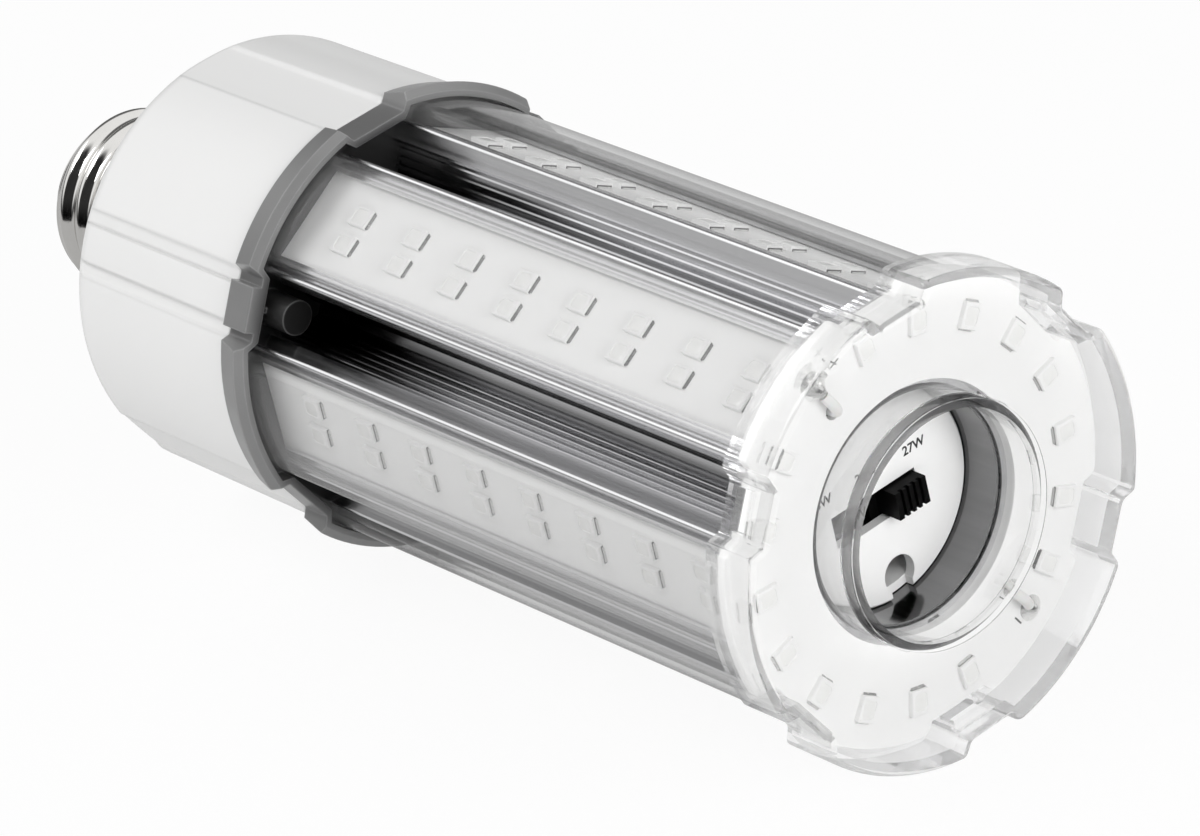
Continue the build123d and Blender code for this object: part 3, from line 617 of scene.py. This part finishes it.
for index in range(ARMS):
    def arm_chips(bm, index=index):
        turn = arm_turn(index)
        for row in CHIP_ROWS:
            for column in CHIP_COLUMNS:
                chip_frame(bm, turn @ Matrix.Translation((row, column, BOARD_TOP)))

    chips = add_piece("arm_chips_%d" % (index + 1), arm_chips, CHIP_MATERIALS, smooth=30)
    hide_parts("led_chips_%d" % (index + 1))


def ring_chips(bm):
    for degrees in RING_ANGLES:
        angle = math.radians(degrees)
        outward = Vector((0, math.cos(angle), math.sin(angle)))
        across = Vector((1, 0, 0)).cross(outward)
        turn = Matrix((outward, across, Vector((1, 0, 0)))).transposed().to_4x4()
        spot = Matrix.Translation(outward * RING_RADIUS + Vector((RING_FACE, 0, 0)))
        chip_frame(bm, spot @ turn)


ring = add_piece("ring_chips", ring_chips, CHIP_MATERIALS, smooth=30)
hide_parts("front_chips")


# Solder, in millimetres: a skirted dome that leans over the end of its lead
DOME_AROUND = 28
DOME_REACH, DOME_HEIGHT, DOME_SKIRT = 1.75, 1.6, 1.6
DOME_RADIUS, DOME_LEAN = 26.45, 0.55
DOME_LEVELS = (1.0, 0.86, 0.72, 0.6, 0.5, 0.4, 0.28, 0.14)


def solder_blobs(bm):
    for degrees in SOLDER_ANGLES:
        angle = math.radians(degrees)
        outward = Vector((0, math.cos(angle), math.sin(angle)))
        across = Vector((1, 0, 0)).cross(outward)
        rings = []
        for share in DOME_LEVELS:
            rise = DOME_HEIGHT * (1 - share ** 2) ** DOME_SKIRT
            middle = outward * (DOME_RADIUS - DOME_LEAN * (1 - share)) + Vector((rise, 0, 0))
            ring = []
            for k in range(DOME_AROUND):
                turn = math.tau * k / DOME_AROUND
                spot = outward * math.cos(turn) + across * math.sin(turn)
                point = middle + spot * (DOME_REACH * share)
                ring.append(bm.verts.new(point * MM + Vector((RING_FACE, 0, 0))))
            rings.append(ring)
        for first, second in zip(rings, rings[1:]):
            join_rings(bm, first, second)
        bm.faces.new(rings[-1])
        bm.faces.new(list(reversed(rings[0])))


blobs = add_piece("solder_domes", solder_blobs, [LOOKS["solder"]], smooth=70)
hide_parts("solder_joints")


# Printed marks: a plain number at each place of the selector, and the signs beside the two leads
INK_THICK, INK_SPREAD, INK_DEPTH = 0.03 * MM, 0.03 * MM, 0.02 * MM
LABEL_SIZE = 1.8 * MM
LABEL_HEIGHT = 3.7 * MM
LABELS = (("18W", -8.6 * MM), ("22W", -0.85 * MM), ("27W", 6.9 * MM))
SIGN_LENGTH, PLUS_WIDTH, MINUS_WIDTH = 1.5 * MM, 0.22 * MM, 0.24 * MM


def printed(name, words, size, middle):
    """Prints a word on a face that looks toward +X."""
    curve = bpy.data.curves.new(name, "FONT")
    curve.body = words
    curve.size = size
    curve.align_x = "CENTER"
    curve.align_y = "CENTER"
    curve.extrude = INK_DEPTH
    curve.offset = INK_SPREAD
    curve.resolution_u = 4
    curve.materials.append(INK)
    mark = bpy.data.objects.new(name, curve)
    facing = Matrix(((0, 0, 1), (1, 0, 0), (0, 1, 0))).to_4x4()
    mark.matrix_world = Matrix.Translation(middle) @ facing
    bpy.context.scene.collection.objects.link(mark)
    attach(mark, "lamp")


for label, across in LABELS:
    printed("mark_" + label, label, LABEL_SIZE, (PLATE_FACE + INK_THICK, across, LABEL_HEIGHT))


def bar(bm, middle, degrees, width):
    """A thin printed bar on the ring board."""
    place = Matrix.Translation(middle) @ Matrix.Rotation(math.radians(degrees), 4, "X")
    ends = []
    for x in (0.0, INK_THICK):
        for y, z in ((-1, -1), (1, -1), (1, 1), (-1, 1)):
            ends.append(bm.verts.new(place @ Vector((x, y * SIGN_LENGTH / 2, z * width / 2))))
    for quad in BOX_FACES:
        bm.faces.new([ends[k] for k in quad])


def on_ring(radius, angle_from_top):
    """A spot on the ring board. The angle is counted from +Z toward -Y."""
    angle = math.radians(90 + angle_from_top)
    return Vector((RING_FACE, radius * MM * math.cos(angle), radius * MM * math.sin(angle)))


def plus_mark(bm):
    spot = on_ring(27.1, 18)
    for degrees in (20, 110):
        bar(bm, spot, degrees, PLUS_WIDTH)


def minus_mark(bm):
    bar(bm, on_ring(25.8, -152.5), 120, MINUS_WIDTH)


add_piece("mark_plus", plus_mark, [INK])
add_piece("mark_minus", minus_mark, [INK])


# Floor. What the camera sees of it is nearly all white glow, and shiny metal sees it darker.
FLOOR_SIZE = 6
FLOOR_GLOW_SHARE = 0.93
FLOOR_REFLECTED = 0.55
floor_level = min(corner[2] for corner in cad_box)
bpy.ops.mesh.primitive_plane_add(size=FLOOR_SIZE, location=(0, 0, floor_level))
floor = bpy.context.object
floor.name = "floor"
ground = Look("floor", (0.90, 0.90, 0.90), 0.6, specular=0.2)
ground.tint(ground.noise(6, detail=3), (0.885, 0.885, 0.885), (0.91, 0.91, 0.91))
glow = ground.node("ShaderNodeEmission")
glow.inputs["Color"].default_value = (1, 1, 1, 1)
glow.inputs["Strength"].default_value = 1.0
dim = ground.node("ShaderNodeEmission")
dim.inputs["Strength"].default_value = FLOOR_REFLECTED
floor_path = ground.node("ShaderNodeLightPath")
glow_share = ground.math("MULTIPLY", ground.straight(floor_path), FLOOR_GLOW_SHARE)
shown_floor = ground.blend(glow_share, ground.shader.outputs["BSDF"], glow.outputs["Emission"])
flags = floor_path.outputs
bounced = ground.math("SUBTRACT", flags["Is Glossy Ray"], flags["Is Transmission Ray"])
only_bounced = ground.math("MAXIMUM", bounced, 0.0)
ground_surface = ground.blend(only_bounced, shown_floor, dim.outputs["Emission"])
ground.link(ground_surface, ground.output.inputs["Surface"])
floor.data.materials.append(ground.material)

# Background: white for the camera, a tent for shiny metal and a soft light for the rest
SOFT_LIGHT = 0.45
world = bpy.data.worlds.new("studio")
bpy.context.scene.world = world
world.use_nodes = True
world.node_tree.nodes.clear()
sky = Tree(world.node_tree)
direction = sky.node("ShaderNodeTexCoord").outputs["Generated"]


def sky_light(strength):
    light = sky.node("ShaderNodeBackground")
    light.inputs["Color"].default_value = (1, 1, 1, 1)
    light.inputs["Strength"].default_value = strength
    return light


def toward(axis):
    """How well a direction agrees with an axis, from -1 to 1."""
    agree = sky.node("ShaderNodeVectorMath", operation="DOT_PRODUCT")
    agree.inputs[1].default_value = axis
    sky.link(direction, agree.inputs[0])
    return agree.outputs["Value"]


# The tent is white, with a dark room beyond its opening, a dark foot and a dark patch behind the lamp
opening = sky.ramp(toward((0.62, -0.70, 0.35)), 1.0, 0.03, 0.48, 0.66, "SMOOTHSTEP")
foot = sky.ramp(toward((0, 0, 1)), 0.06, 1.0, 0.08, 0.42, "SMOOTHSTEP")
patch = sky.ramp(toward((-0.71, 0.49, 0.50)), 1.0, 0.15, 0.86, 0.94, "SMOOTHSTEP")
tent = sky_light(1.0)
tent_level = sky.math("MULTIPLY", sky.math("MULTIPLY", opening, foot), patch)
sky.link(tent_level, tent.inputs["Strength"])
soft = sky_light(SOFT_LIGHT)
white = sky_light(1.0)
sky_path = sky.node("ShaderNodeLightPath")
lit = sky.blend(sky_path.outputs["Is Glossy Ray"], soft.outputs[0], tent.outputs[0])
whole_sky = sky.blend(sky.straight(sky_path), lit, white.outputs[0])
sky.link(whole_sky, sky.node("ShaderNodeOutputWorld").inputs["Surface"])


# Lamps: each is a rectangle that faces the middle of the part
LAMP_TARGET = Vector((0.065, 0.0, 0.0))


def lamp(name, place, size, power, mirrored=True):
    """Adds one lamp. One that isn't mirrored gives light but doesn't show in shiny surfaces."""
    light = bpy.data.lights.new(name, "AREA")
    light.shape = "RECTANGLE"
    light.size, light.size_y = size
    light.energy = power
    light_object = bpy.data.objects.new(name, light)
    light_object.location = place
    aim = LAMP_TARGET - Vector(place)
    light_object.rotation_euler = aim.to_track_quat("-Z", "Y").to_euler()
    light_object.visible_glossy = mirrored
    bpy.context.scene.collection.objects.link(light_object)


lamp("key", (-0.2, -0.35, 0.78), (0.5, 0.35), 2.4)
lamp("front", (0.88, 0.06, 0.34), (0.5, 0.5), 4.0, mirrored=False)
lamp("side", (0.1, -0.8, 0.15), (0.6, 0.2), 0.9, mirrored=False)

# Camera, where the photo was taken from. Right, up and back are the picture's own directions.
camera_data = bpy.data.cameras.new("camera")
camera_data.lens = 213.45
camera_data.sensor_width = 36.0
camera_data.clip_start = 0.05
camera = bpy.data.objects.new("camera", camera_data)
right = Vector((0.64516, 0.73557, -0.20661))
up = Vector((-0.26090, 0.46625, 0.84531))
back = Vector((0.71812, -0.49146, 0.49271))
camera_turn = Matrix((right, up, back)).transposed().to_4x4()
camera.matrix_world = Matrix.Translation((0.74467, -0.45307, 0.44879)) @ camera_turn
bpy.context.scene.collection.objects.link(camera)
bpy.context.scene.camera = camera
bpy.context.scene.view_settings.view_transform = "Standard"
